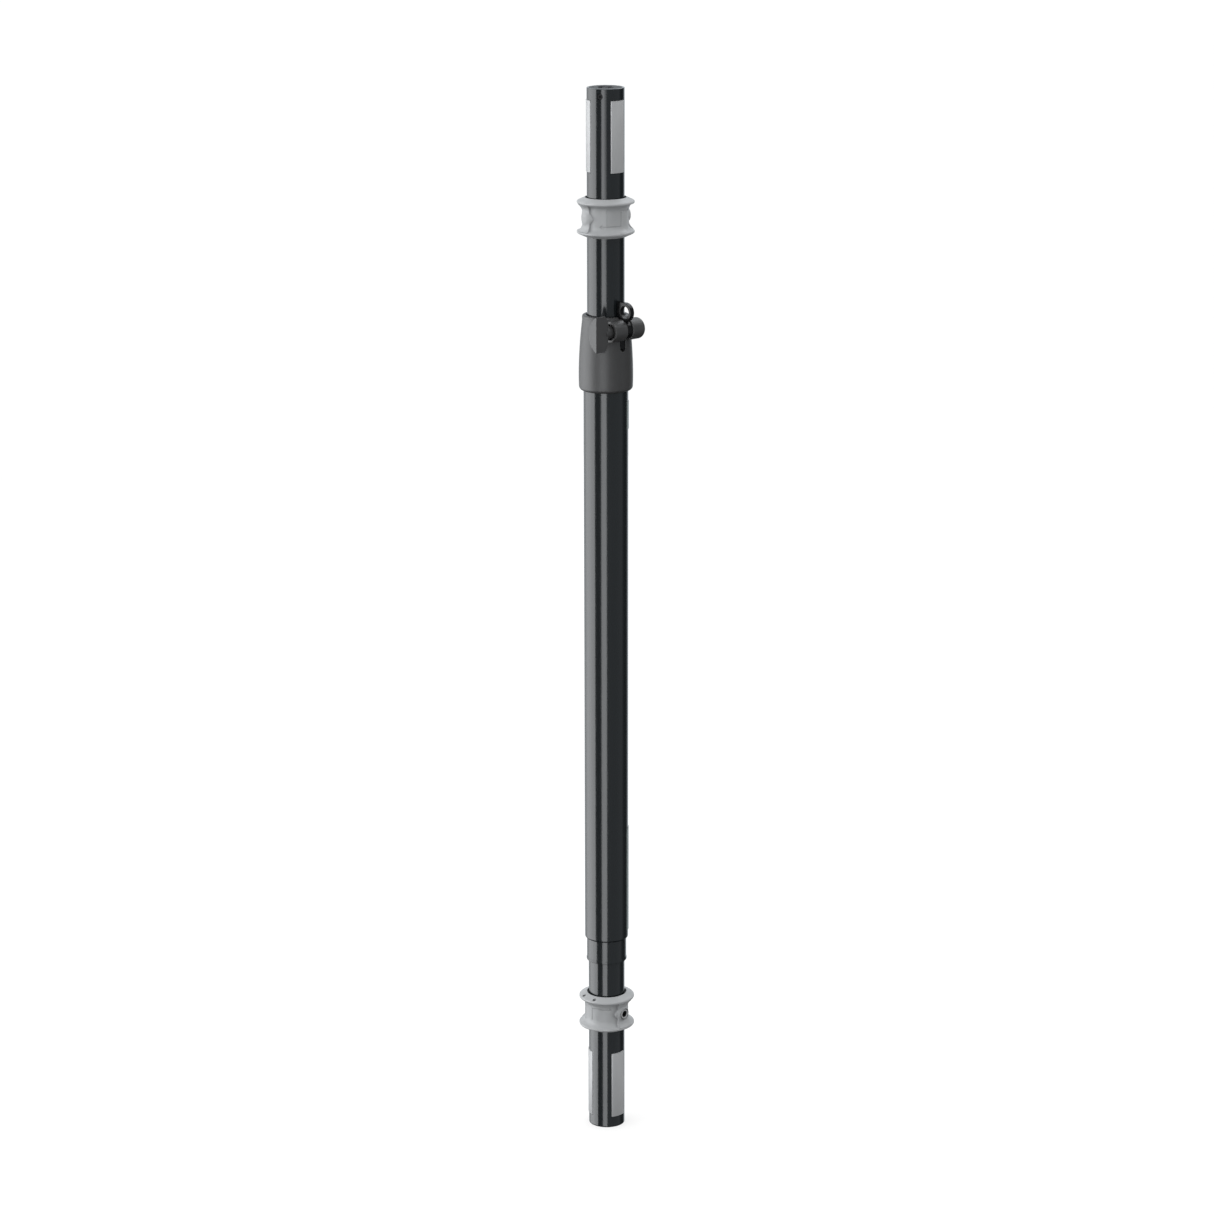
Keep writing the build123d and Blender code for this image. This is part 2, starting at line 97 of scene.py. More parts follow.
def spread(tree, value, low, high):
    """The pattern's middle range stretched to low..high."""
    node = tree.nodes.new("ShaderNodeMapRange")
    node.inputs["From Min"].default_value = 0.3
    node.inputs["From Max"].default_value = 0.7
    node.inputs["To Min"].default_value = low
    node.inputs["To Max"].default_value = high
    tree.links.new(value, node.inputs["Value"])
    return node.outputs["Result"]


def two_tone(tree, value, dark, light):
    """Colour that wanders between two near shades."""
    node = tree.nodes.new("ShaderNodeValToRGB")
    node.color_ramp.elements[0].position = 0.3
    node.color_ramp.elements[1].position = 0.7
    node.color_ramp.elements[0].color = (*dark, 1)
    node.color_ramp.elements[1].color = (*light, 1)
    tree.links.new(value, node.inputs["Fac"])
    return node.outputs["Color"]


def bumps(tree, value, strength, distance):
    """Bump of a pattern."""
    node = tree.nodes.new("ShaderNodeBump")
    node.inputs["Strength"].default_value = strength
    node.inputs["Distance"].default_value = distance
    tree.links.new(value, node.inputs["Height"])
    return node.outputs["Normal"]


def new_material(name, metallic=0.0, specular=0.5):
    """A Principled material, its shader and its node tree."""
    material = bpy.data.materials.new(name)
    material.use_nodes = True
    tree = material.node_tree
    shader = tree.nodes["Principled BSDF"]
    shader.inputs["Metallic"].default_value = metallic
    shader.inputs["Specular IOR Level"].default_value = specular
    return material, shader, tree


def darken_as_shade(tree, colour, shade_colour):
    """Colour darkened toward a shade colour, as painted shade, where the mesh's painted-shade attribute is set."""
    mask = tree.nodes.new("ShaderNodeAttribute")
    mask.attribute_name = SHADE_ATTRIBUTE
    mix = tree.nodes.new("ShaderNodeMix")
    mix.data_type = "RGBA"
    tree.links.new(mask.outputs["Fac"], mix.inputs["Factor"])
    tree.links.new(colour, mix.inputs["A"])
    mix.inputs["B"].default_value = (*shade_colour, 1)
    return mix.outputs["Result"]


def finish_material(name, dark, light, rough, patch=40.0, fine=1500.0, bump=0.1, depth=0.05,
                    stretch=(1, 1, 1), shade_colour=None, **shader_values):
    """Two-tone colour and roughness in broad patches, with a fine grain as bump, and painted shade in hollows when
    a shade colour is given.
    """
    material, shader, tree = new_material(name, **shader_values)
    broad = grain(tree, patch, 5.0, stretch)
    colour = two_tone(tree, broad, dark, light)
    # painted shade: colour darkened where the mesh's shade attribute is set
    if shade_colour:
        colour = darken_as_shade(tree, colour, shade_colour)
    tree.links.new(colour, shader.inputs["Base Color"])
    speckle = grain(tree, fine * 0.4, 3.0, stretch)
    tree.links.new(spread(tree, speckle, *rough), shader.inputs["Roughness"])
    small = grain(tree, fine, 2.0, stretch)
    tree.links.new(bumps(tree, small, bump, depth * MM), shader.inputs["Normal"])
    return material


def make_materials():
    """One material for each of the record's slots."""
    drawn = (1.0, 1.0, 0.06)
    return {
        "black_tube": finish_material(
            "black_tube", (0.0075, 0.0095, 0.0108), (0.01, 0.012, 0.0132), (0.13, 0.18),
            patch=25, fine=1800, bump=0.05, depth=0.02, stretch=drawn),
        "dark_grey_plastic": finish_material(
            "dark_grey_plastic", (0.036, 0.036, 0.0365), (0.042, 0.042, 0.0425), (0.42, 0.5),
            fine=2600, bump=0.22, depth=0.05),
        "black_plastic": finish_material(
            "black_plastic", (0.006, 0.006, 0.0065), (0.009, 0.009, 0.0095), (0.5, 0.6),
            fine=1800, bump=0.12),
        "black_lug": finish_material(
            "black_lug", (0.004, 0.004, 0.0045), (0.006, 0.006, 0.0065), (0.14, 0.2),
            patch=120, fine=900, bump=0.06, depth=0.05, specular=0.15),
        # the rings' grey turns to its dark colour as painted shade where the mesh's shade attribute is set
        "ring_grey": finish_material(
            "ring_grey", (0.335, 0.345, 0.353), (0.365, 0.375, 0.383), (0.4, 0.5),
            patch=60, fine=2200, bump=0.16, depth=0.05, specular=0.3, shade_colour=(0.06, 0.062, 0.065)),
        "pad_aluminium": finish_material(
            "pad_aluminium", (0.38, 0.388, 0.395), (0.42, 0.428, 0.435), (0.4, 0.48),
            patch=70, fine=2000, bump=0.15, depth=0.04, stretch=(1, 1, 0.35), metallic=0.1),
        "plug_grey": finish_material(
            "plug_grey", (0.04, 0.042, 0.045), (0.05, 0.052, 0.055), (0.5, 0.6),
            fine=1800, bump=0.15, specular=0.2),
        # the bolts' steel turns near black as painted shade inside the sockets, where the mesh's shade attribute
        # is set
        "plated_steel": finish_material(
            "plated_steel", (0.42, 0.424, 0.43), (0.48, 0.484, 0.49), (0.36, 0.46),
            patch=200, fine=1600, bump=0.15, depth=0.03, metallic=0.3, shade_colour=(0.01, 0.01, 0.01)),
        "black_oxide": finish_material(
            "black_oxide", (0.01, 0.01, 0.011), (0.016, 0.016, 0.017), (0.35, 0.45),
            patch=200, fine=1600, bump=0.1, depth=0.03, specular=0.2),
        "disc_steel": finish_material(
            "disc_steel", (0.4, 0.4, 0.41), (0.47, 0.47, 0.48), (0.3, 0.42),
            patch=150, fine=1400, bump=0.15, depth=0.04, metallic=1.0),
        "blank_label": finish_material(
            "blank_label", (0.14, 0.17, 0.165), (0.16, 0.19, 0.185), (0.3, 0.38),
            patch=80, fine=1200, bump=0.06, depth=0.02),
    }


MATERIALS = make_materials()


# ---- Mesh helpers -------------------------------------------------------------------
def add_mesh(name, points, faces):
    """A mesh object from points in millimetres."""
    mesh = bpy.data.meshes.new(name)
    mesh.from_pydata([tuple(c * MM for c in p) for p in points], [], [tuple(f) for f in faces])
    mesh.validate()
    body = bpy.data.objects.new(name, mesh)
    bpy.context.scene.collection.objects.link(body)
    return body


def face_outwards(piece):
    """Consistent outward normals."""
    work = bmesh.new()
    work.from_mesh(piece.data)
    bmesh.ops.recalc_face_normals(work, faces=work.faces)
    work.to_mesh(piece.data)
    work.free()


def lathe(name, outline, segments=192, closed=True):
    """Solid turned about Z from an outline of (radius, height) points."""
    rim = len(outline)
    angles = [2 * math.pi * i / segments for i in range(segments)]
    points = [(r * math.cos(a), r * math.sin(a), z) for a in angles for r, z in outline]
    spans = range(rim if closed else rim - 1)
    faces = []
    for i in range(segments):
        here = i * rim
        there = (i + 1) % segments * rim
        for j in spans:
            k = (j + 1) % rim
            faces.append((here + j, there + j, there + k, here + k))
    turned = add_mesh(name, points, faces)
    face_outwards(turned)
    return turned


def bake_modifiers(piece):
    """Replace the mesh with what its modifiers make."""
    graph = bpy.context.evaluated_depsgraph_get()
    mesh = bpy.data.meshes.new_from_object(piece.evaluated_get(graph))
    piece.modifiers.clear()
    piece.data = mesh


def cut(piece, cutters, operation="DIFFERENCE"):
    """Boolean of a piece with throwaway cutters."""
    for cutter in cutters:
        step = piece.modifiers.new("cut", "BOOLEAN")
        step.operation = operation
        step.solver = "EXACT"
        step.object = cutter
    bpy.context.view_layer.update()
    bake_modifiers(piece)
    for cutter in cutters:
        bpy.data.objects.remove(cutter)


def round_edges(piece, width, segments=2, angle=35.0):
    """Small rounding on every edge sharper than an angle."""
    step = piece.modifiers.new("round", "BEVEL")
    step.width = width * MM
    step.segments = segments
    step.limit_method = "ANGLE"
    step.angle_limit = math.radians(angle)
    step.harden_normals = False
    bake_modifiers(piece)


def remake(name, node, voxel, passes, keep=1.0):
    """A copy of a CAD node's shape with its edges softened as a moulding's are."""
    copy = bpy.data.objects.new(name, frame["nodes"][node].data.copy())
    copy.data.name = name
    bpy.context.scene.collection.objects.link(copy)
    work = bmesh.new()
    work.from_mesh(copy.data)
    bmesh.ops.remove_doubles(work, verts=work.verts, dist=1e-6)
    work.to_mesh(copy.data)
    work.free()
    step = copy.modifiers.new("voxels", "REMESH")
    step.mode = "VOXEL"
    step.voxel_size = voxel * MM
    step.use_smooth_shade = True
    step = copy.modifiers.new("soften", "SMOOTH")
    step.factor = 0.5
    step.iterations = passes
    if keep < 1.0:
        step = copy.modifiers.new("thin", "DECIMATE")
        step.ratio = keep
    bake_modifiers(copy)
    return copy


def cylinder(radius, start, end, segments=48):
    """Throwaway round bar between two points in millimetres."""
    a, b = Vector(start), Vector(end)
    turn = (b - a).to_track_quat("Z", "Y").to_matrix()
    points = []
    for base in (a, b):
        for i in range(segments):
            angle = 2 * math.pi * i / segments
            points.append(base + turn @ Vector((radius * math.cos(angle), radius * math.sin(angle), 0)))
    faces = [tuple(range(segments - 1, -1, -1)), tuple(range(segments, 2 * segments))]
    for i in range(segments):
        j = (i + 1) % segments
        faces.append((i, j, segments + j, segments + i))
    return add_mesh("cutter", points, faces)


def outward(azimuth):
    """Unit vector that faces an azimuth."""
    angle = math.radians(azimuth)
    return Vector((math.sin(angle), -math.cos(angle), 0))


def radial_bar(radius, azimuth, inner, outer, height, segments=48):
    """Round bar along a radius."""
    way = outward(azimuth)
    lift = Vector((0, 0, height))
    return cylinder(radius, way * inner + lift, way * outer + lift, segments)


def prism(corners, low, high):
    """Throwaway straight prism: corners in the XY plane between two heights."""
    count = len(corners)
    points = [(x, y, low) for x, y in corners] + [(x, y, high) for x, y in corners]
    faces = [tuple(range(count - 1, -1, -1)), tuple(range(count, 2 * count))]
    for i in range(count):
        j = (i + 1) % count
        faces.append((i, j, count + j, count + i))
    body = add_mesh("cutter", points, faces)
    face_outwards(body)
    return body


def place(piece, node, material=None, end="lower", smooth_angle=32.0):
    """Finish a piece: shading, material, its body, and the CAD node that it stands for."""
    piece.data.transform(END_FRAMES[end])
    piece.data.shade_smooth()
    piece.data.set_sharp_from_angle(angle=math.radians(smooth_angle))
    slots = {part["node"]: part["material_slot"] for part in RECORD["subparts"]}
    slot = material or slots[node]
    piece.data.materials.clear()
    piece.data.materials.append(MATERIALS[slot])
    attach(piece, BODY_OF[node])
    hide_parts(node)
    return piece


def arc(centre, radius, start, end, steps):
    """Points on an arc, angles in degrees."""
    turn = [math.radians(start + (end - start) * i / steps) for i in range(steps + 1)]
    return [(centre[0] + radius * math.cos(a), centre[1] + radius * math.sin(a)) for a in turn]


# ---- Tubes --------------------------------------------------------------------------
def tube_outline(outer, inner, low, high, rounding=0.45, guard=1.0):
    """Section of a tube with rounded outer rims and a guard line beside each."""
    points = [(inner, low + 0.2), (inner, low + guard), (inner, high - guard), (inner, high - 0.2)]
    points += [(inner + 0.2, high)]
    points += [p for p in arc((outer - rounding, high - rounding), rounding, 90, 0, 4)]
    points += [(outer, high - guard - rounding), (outer, low + guard + rounding)]
    points += [p for p in arc((outer - rounding, low + rounding), rounding, 0, -90, 4)]
    points += [(inner + 0.2, low)]
    return points


def sector(inner, outer, low, high, start, end, steps=24):
    """Throwaway piece of a ring between two azimuths."""
    turn = [start + (end - start) * i / steps for i in range(steps + 1)]
    corners = [tuple((outward(a) * inner)[:2]) for a in turn]
    corners += [tuple((outward(a) * outer)[:2]) for a in reversed(turn)]
    return prism(corners, low, high)


def end_tube(end, node):
    """35 mm tube with its pad windows, its two bolt slots and its plug screw's hole."""
    low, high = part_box(node)
    length = (high.z - low.z) / MM
    name = node + "_body"
    tube = lathe(name, tube_outline(PIN_RADIUS, PIN_RADIUS - WALL, 0, length))
    pad_low, pad_high = (z / MM for z in end_span(end, end + "_pad_1"))
    half = PAD_WIDTH / 2 + PAD_GAP
    cutters = []
    for azimuth in PAD_AZIMUTHS:
        out, across = outward(azimuth), outward(azimuth + 90)
        corners = [out * 10 - across * half, out * 25 - across * half]
        corners += [out * 25 + across * half, out * 10 + across * half]
        flat = [(c.x, c.y) for c in corners]
        cutters.append(prism(flat, pad_low - PAD_GAP, pad_high + PAD_GAP))
    ring_low, ring_high = (z / MM for z in end_span(end, end + "_turn_ring"))
    middle = (ring_low + ring_high) / 2
    slot = (middle - SLOT_HALF_HEIGHT, middle + SLOT_HALF_HEIGHT)
    for side in (0, 180):
        first, last = (BOSS_AZIMUTH[end] + side + turn for turn in RING_TURN)
        cutters.append(sector(14, 19, *slot, first - SLOT_PAST_BOLT, last + SLOT_PAST_BOLT))
    cutters.append(radial_bar(PLUG_HOLE_RADIUS, PLUG_SCREW_AZIMUTH, 12, 20, PLUG_SCREW_AT))
    cut(tube, cutters)
    return place(tube, node, end=end)


def end_span(end, node):
    """Lowest and highest place of a node along its end's own axis, in metres."""
    low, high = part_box(node)
    if end == "lower":
        return low.z, high.z
    return POLE_TOP - high.z, POLE_TOP - low.z


def outer_tube():
    """42 mm tube, its lower rim rolled in."""
    low, high = (v.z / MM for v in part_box("outer_tube"))
    roll = 1.9
    points = [(OUTER_RADIUS - WALL, low + 0.2), (OUTER_RADIUS - WALL, low + 3)]
    points += [(OUTER_RADIUS - WALL, high), (OUTER_RADIUS, high)]
    points += [(OUTER_RADIUS, low + 6), (OUTER_RADIUS, low + roll + 1.5)]
    points += arc((OUTER_RADIUS - roll, low + roll), roll, 0, -88, 10)
    return place(lathe("outer_tube_body", points), "outer_tube")


def reducing_sleeve():
    """Stepped sleeve with a small rounded lip."""
    low, high = (v.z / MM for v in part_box("reducing_sleeve"))
    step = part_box("outer_tube")[0].z / MM
    lip = 0.35
    points = [(17.52, low + 0.3), (17.52, low + 4), (17.52, high), (18.97, high)]
    points += [(18.97, step), (19.15, step - 0.02), (19.15, step - 2), (19.15, low + 3.6)]
    points += [(19.15, low + 2.8), (19.3, low + 2.4), (19.5, low + 2.0), (19.5, low + 1.0)]
    points += arc((19.5 - lip, low + lip), lip, 0, -90, 4) + [(17.8, low)]
    return place(lathe("reducing_sleeve_body", points), "reducing_sleeve")


# ---- Turn rings ---------------------------------------------------------------------
RING_MOUTH = (18.9, 18.22)      # radius, half height
RING_TIP = (25.3, 13.8)         # centre of the flange's rounded tip
RING_TIP_ROUND = 1.5
RING_WAIST = 21.0
RING_WAIST_END = 6.2            # straight part of the pockets, above and below the middle
BOSS_FACE = 24.4
SCREW_SEAT = 20.2
# Sections of the two bosses: distances from the middle, and the radius at each
SCREW_BOSS = (
    (0, 5.2, 5.6, 5.9, 6.15, 6.6, 7.4, 8.4),
    (24.4, 24.4, 24.3, 24.05, 23.6, 22.8, 22.2, 20.5),
)
BLIND_BOSS = ((0, 2.0, 4.0, 5.5, 6.8, 8.0, 9.5), (24.4, 24.3, 23.9, 23.3, 22.6, 21.8, 20.5))
BOSS_BLEND = (0.2, 1.1)         # softness where each boss meets its rib
RIB_REACH = 60.0                # degrees from a boss that its rib and flare may reach
RIB_HALF_HEIGHT = 12.7
RIB_HALF_WIDTH = 6.0
RIB_TOP = 22.5
RIB_RADIUS = 22.0               # where widths across a rib are measured
FLARE_TOP = 22.8
FLARE_START = 6.3               # distance from the boss where the flare begins to fall
FLARE_EDGE = 8.9                # and where it drops off
FLARE_POWER = 1.4               # of the rounded diamond that is the flare's outline
HEAD_POCKET_RADIUS = 5.5
BOLT_HOLE_RADIUS = 3.3
BLIND_HOLE_RADIUS = 3.02
SHADE_START = (7.3, 10.4)       # painted shade beside a rib begins at its edge or at its flare's
SHADE_REACH = 2.2
SHADE_DEPTH = 0.3
# painted shade in the engraved signs
SIGN_SHADE = 0.15
SIGN_DEPTH = 0.45
SIGNS = (
    # azimuth past the screw, half height of the upright, arrow ahead, arrow behind
    (-88.5, 5.8, 19.5, 0.0),
    (80.0, 7.1, 20.8, 12.0),
)
DIMPLES = (-115.0, -77.5)       # azimuth past the screw
DIMPLE_AT = (23.6, 15.0)        # radius, height of the floor
DIMPLE_RADIUS = 1.7


def smooth_max(a, b, soft):
    """Larger of two values, blended over a distance."""
    return 0.5 * (a + b + np.sqrt((a - b) ** 2 + soft * soft))


def ring_outline(steps_waist=46):
    """Outer outline of half a ring, from the mouth to the middle, as (radius, height)."""
    mouth_r, mouth_z = RING_MOUTH
    tip_r, tip_z = RING_TIP
    points = arc((mouth_r + 0.35, mouth_z - 0.35), 0.35, 170, 68, 3)
    start = np.array(points[-1])
    end = np.array([tip_r + RING_TIP_ROUND * math.cos(math.radians(66)),
                    tip_z + RING_TIP_ROUND * math.sin(math.radians(66))])
    points += [tuple(start + (end - start) * t) for t in (0.06, 0.2, 0.35, 0.5, 0.65, 0.8, 0.94)]
    points += arc(RING_TIP, RING_TIP_ROUND, 66, -40, 9)
    edge_r, edge_z = points[-1][0] - 0.4, points[-1][1] - 0.12
    points.append((edge_r + 0.02, edge_z + 0.02))
    for i in range(1, steps_waist + 1):
        height = edge_z * (1 - i / steps_waist)
        bulge = max(0.0, (height - RING_WAIST_END) / (edge_z - RING_WAIST_END))
        radius = RING_WAIST + (edge_r - RING_WAIST) * (0.45 * bulge ** 2 + 0.55 * bulge ** 4)
        points.append((radius, height))
    return points


def sign_mask(turn, height, half, ahead, behind):
    """Where an engraved sign is, 0 to 1: an upright line and an arrow from each of its ends."""
    along = np.radians(turn) * RING_WAIST

    def stroke(distance, inside):
        return np.where(inside, np.clip((0.55 - distance) / 0.25, 0, 1), 0)

    mask = stroke(np.abs(along), np.abs(height) < half + 0.3)
    for way, length in ((1, ahead), (-1, behind)):
        if not length:
            continue
        level = way * half
        reach = along * way
        mask = np.maximum(mask, stroke(np.abs(height - level), (reach > -0.3) & (reach < length)))
        back = length - reach
        barb = np.abs(np.abs(height - level) - back * 0.6)
        mask = np.maximum(mask, stroke(barb * 0.85, (back > -0.3) & (back < 2.6)))
    return mask


def ring_signs(azimuth, height, screw):
    """Both engraved signs of a ring."""
    mask = np.zeros_like(azimuth)
    for turn, half, ahead, behind in SIGNS:
        local = (azimuth - screw - turn + 180) % 360 - 180
        mask = np.maximum(mask, sign_mask(local, height, half, ahead, behind))
    return mask * (np.abs(height) < 9)


def from_boss(azimuth, height, boss):
    """Turn from a boss, distance across from it, and distance by the flare's rounded diamond."""
    turn = (azimuth - boss + 180) % 360 - 180
    across = np.abs(np.radians(turn)) * RIB_RADIUS
    diamond = across ** FLARE_POWER + np.abs(1.15 * height) ** FLARE_POWER
    return turn, across, diamond ** (1 / FLARE_POWER)


def ring_radius(azimuth, floor, height, screw):
    """Outer radius of the casting: two pockets between two ribs, each rib with its boss."""
    result = floor.copy()
    far = np.maximum(0, np.abs(height) - 5.5)
    rib_top = RIB_TOP + 0.085 * far ** 2
    inside = np.abs(height) < RIB_HALF_HEIGHT
    for side, (stations, levels), soft in zip((0, 180), (SCREW_BOSS, BLIND_BOSS), BOSS_BLEND):
        turn, across, away = from_boss(azimuth, height, screw + side)
        drop = np.maximum(0, across - RIB_HALF_WIDTH - 0.02 * far ** 2)
        rib = rib_top - 2.1 * drop ** 1.3
        flare = FLARE_TOP - 0.24 * np.maximum(0, away - FLARE_START)
        flare = flare - 0.6 * np.maximum(0, away - FLARE_EDGE) ** 1.4
        boss = np.interp(np.hypot(across, height), stations, levels)
        shaped = smooth_max(smooth_max(floor, rib, 0.2), flare, 0.15) - 0.02
        shaped = smooth_max(shaped, boss, soft)
        result = np.where(inside & (np.abs(turn) < RIB_REACH), np.maximum(result, shaped), result)
    return result - SIGN_DEPTH * ring_signs(azimuth, height, screw)


def store_painted_shade(piece, shade_at):
    """Store how much painted shade each vertex gets, from the places in millimetres."""
    places = np.empty(len(piece.data.vertices) * 3)
    piece.data.vertices.foreach_get("co", places)
    values = shade_at(places.reshape(-1, 3) / MM)
    layer = piece.data.attributes.new(SHADE_ATTRIBUTE, "FLOAT", "POINT")
    layer.data.foreach_set("value", values.astype(np.float32))


def ring_shade_amounts(places, screw, middle):
    """Painted shade of a ring: in the engraving, the bore, the bolt head's pocket, beside the ribs and in the
    dimples.
    """
    height = places[:, 2] - middle
    azimuth = np.degrees(np.arctan2(places[:, 0], -places[:, 1]))
    outside = np.hypot(places[:, 0], places[:, 1]) > RING_WAIST - 1
    # painted shade in the engraved signs
    shade_level = SIGN_SHADE * ring_signs(azimuth, height, screw) * outside
    reach = np.hypot(places[:, 0], places[:, 1])
    # the bore painted fully dark as shade of the gap round the tube
    shade_level[(reach < RING_MOUTH[0] + 0.1) & (np.abs(height) < RING_MOUTH[1])] = 1.0
    # the bolt head's pocket painted fully dark as shade
    way, across_way = np.array(outward(screw)), np.array(outward(screw + 90))
    off_axis = np.hypot(height, places @ across_way)
    along = places @ way
    in_pocket = (off_axis < HEAD_POCKET_RADIUS + 0.15) & (along > 15) & (along < BOSS_FACE - 0.3)
    shade_level[in_pocket] = 1.0
    # painted shade beside each rib and its flare, fading away from them
    for side in (0, 180):
        turn, across, away = from_boss(azimuth, height, screw + side)
        clear = np.minimum(across - SHADE_START[0], away - SHADE_START[1])
        near = (clear > -0.8) & (np.abs(height) < 12) & outside & (np.abs(turn) < RIB_REACH)
        shade = SHADE_DEPTH * np.exp(-(np.maximum(0, clear) / SHADE_REACH) ** 2)
        shade_level = np.where(near, np.maximum(shade_level, shade), shade_level)
    # the dimples painted fully dark as shade
    for turn in DIMPLES:
        foot = np.array(outward(screw + turn)) * DIMPLE_AT[0]
        off_axis = np.hypot(places[:, 0] - foot[0], places[:, 1] - foot[1])
        shade_level[(off_axis < DIMPLE_RADIUS + 0.05) & (height > 14.5) & (height < 15.2)] = 1.0
    return shade_level


def turn_ring(end, segments=512):
    """Die-cast ring: a height field round the bore, with its bolt's pocket and dimples cut in."""
    node = end + "_turn_ring"
    screw = BOSS_AZIMUTH[end]
    low, high = end_span(end, node)
    middle = (low + high) / 2 / MM
    half = ring_outline()
    outline = half + [(r, -z) for r, z in reversed(half[:-1])]
    radius = np.array([p[0] for p in outline])
    height = np.array([p[1] for p in outline])
    azimuth = np.arange(segments) * 360.0 / segments
    grid_az, grid_r = np.meshgrid(azimuth, radius, indexing="ij")
    grid_z = np.meshgrid(azimuth, height, indexing="ij")[1]
    shaped = ring_radius(grid_az, grid_r, grid_z, screw)
    bore = [(RING_MOUTH[0], -RING_MOUTH[1] + 0.4), (RING_MOUTH[0], -RING_MOUTH[1] + 2)]
    bore += [(RING_MOUTH[0], RING_MOUTH[1] - 2), (RING_MOUTH[0], RING_MOUTH[1] - 0.4)]
    count = len(outline) + len(bore)
    points = []
    for i, angle in enumerate(np.radians(azimuth)):
        s, c = math.sin(angle), -math.cos(angle)
        points += [(r * s, r * c, z + middle) for r, z in zip(shaped[i], height)]
        points += [(r * s, r * c, z + middle) for r, z in bore]
    faces = []
    for i in range(segments):
        here, there = i * count, (i + 1) % segments * count
        for j in range(count):
            k = (j + 1) % count
            faces.append((here + j, there + j, there + k, here + k))
    ring = add_mesh(node + "_casting", points, faces)
    face_outwards(ring)
    cutters = [radial_bar(HEAD_POCKET_RADIUS, screw, SCREW_SEAT, 30, middle, 64)]
    cutters.append(radial_bar(BOLT_HOLE_RADIUS, screw, 17, SCREW_SEAT + 1, middle, 32))
    cutters.append(radial_bar(BLIND_HOLE_RADIUS, screw + 180, 17, 22.8, middle, 32))
    for turn in DIMPLES:
        foot = outward(screw + turn) * DIMPLE_AT[0] + Vector((0, 0, middle + DIMPLE_AT[1]))
        cutters.append(cylinder(DIMPLE_RADIUS, foot, foot + Vector((0, 0, 5)), 32))
    cut(ring, cutters)
    store_painted_shade(ring, lambda places: ring_shade_amounts(places, screw, middle))
    return place(ring, node, end=end, smooth_angle=38)


BOLT_END = 22.5                 # its tip's distance past the pole's axis
BOLT_SHANK = 3.0
HEAD_SEAT = 42.7                # heights along the bolt, from its tip
HEAD_TOP = 46.7
HEAD_RIM = 4.65
SOCKET_MOUTH = 3.45
SOCKET_CORNER = 2.89


def ring_bolt(end):
    """Socket screw: low head with a countersunk hexagonal socket, and its shank."""
    node = end + "_ring_bolt"
    low, high = end_span(end, end + "_turn_ring")
    middle = (low + high) / 2 / MM
    top, rim, mouth = HEAD_TOP, HEAD_RIM, SOCKET_MOUTH
    head = [(0.01, 0), (BOLT_SHANK, 0), (BOLT_SHANK, HEAD_SEAT)]
    head += [(rim, HEAD_SEAT), (rim, HEAD_SEAT + 0.4), (rim, top - 0.7)]
    head += arc((rim - 0.35, top - 0.35), 0.35, 0, 90, 4)
    head += [(mouth + 0.1, top), (mouth, top - 0.06), (2.95, top - 0.6), (0.01, top - 0.6)]
    bolt = lathe(node + "_body", head, 96)
    hexagon = arc((0, 0), SOCKET_CORNER, 0, 300, 5)
    cut(bolt, [prism(hexagon, 43.4, 50)])

    # the inside of the socket is painted nearly black as shade
    def in_socket(places):
        inside = np.hypot(places[:, 0], places[:, 1]) < mouth - 0.1
        return (inside & (places[:, 2] > 43)).astype(float)

    store_painted_shade(bolt, in_socket)
    way = outward(BOSS_AZIMUTH[end])
    turn = way.to_track_quat("Z", "Y").to_matrix().to_4x4()
    start = way * -BOLT_END * MM + Vector((0, 0, middle * MM))
    bolt.data.transform(Matrix.Translation(start) @ turn)
    return place(bolt, node, end=end)


# ---- Pads ---------------------------------------------------------------------------
def pad(end, number, azimuth):
    """Expanding pad: crowned skin with rounded corners, and the rib on its back."""
    node = f"{end}_pad_{number}"
    low, high = (z / MM for z in end_span(end, node))
    outer = PIN_RADIUS + PAD_PROUD
    inner = outer - PAD_SKIN
    half = PAD_WIDTH / 2
    lead = math.degrees(math.asin(half / outer))
    turns = [-lead + 2 * lead * i / 24 for i in range(25)]
    corners = [tuple((outward(a) * outer)[:2]) for a in turns]
    back = math.degrees(math.asin(half / inner))
    corners += [tuple((outward(a) * inner)[:2]) for a in (back, back / 2, 0, -back / 2, -back)]
    skin = prism(corners, low, high)
    rib_low, rib_high = low + 7.6, high - 7.6
    rib_corners = [(-2.5, -inner - 0.5), (2.5, -inner - 0.5), (2.5, -7.0), (-2.5, -7.0)]
    cut(skin, [prism(rib_corners, rib_low, rib_high)], "UNION")
    cut(skin, [cylinder(1.52, (0, -9.5, rib_low - 1), (0, -9.5, rib_high + 1), 24)])
    round_edges(skin, 0.3, 2, 40)
    skin.name = node + "_body"
    skin.data.name = skin.name
    skin.data.transform(Matrix.Rotation(math.radians(azimuth), 4, "Z"))
    return place(skin, node, end=end, smooth_angle=30)


# ---- Clamp --------------------------------------------------------------------------
def clamp_parts():
    """Collar and lug: mouldings with soft edges."""
    place(remake("clamp_collar_body", "clamp_collar", 0.5, 4, 0.6), "clamp_collar", smooth_angle=60)
    place(remake("safety_eye_body", "safety_eye", 0.22, 4, 0.6), "safety_eye", smooth_angle=60)


STUD_RADIUS = 4.0
THREAD_PITCH = 1.25
THREAD_DEPTH = 0.32


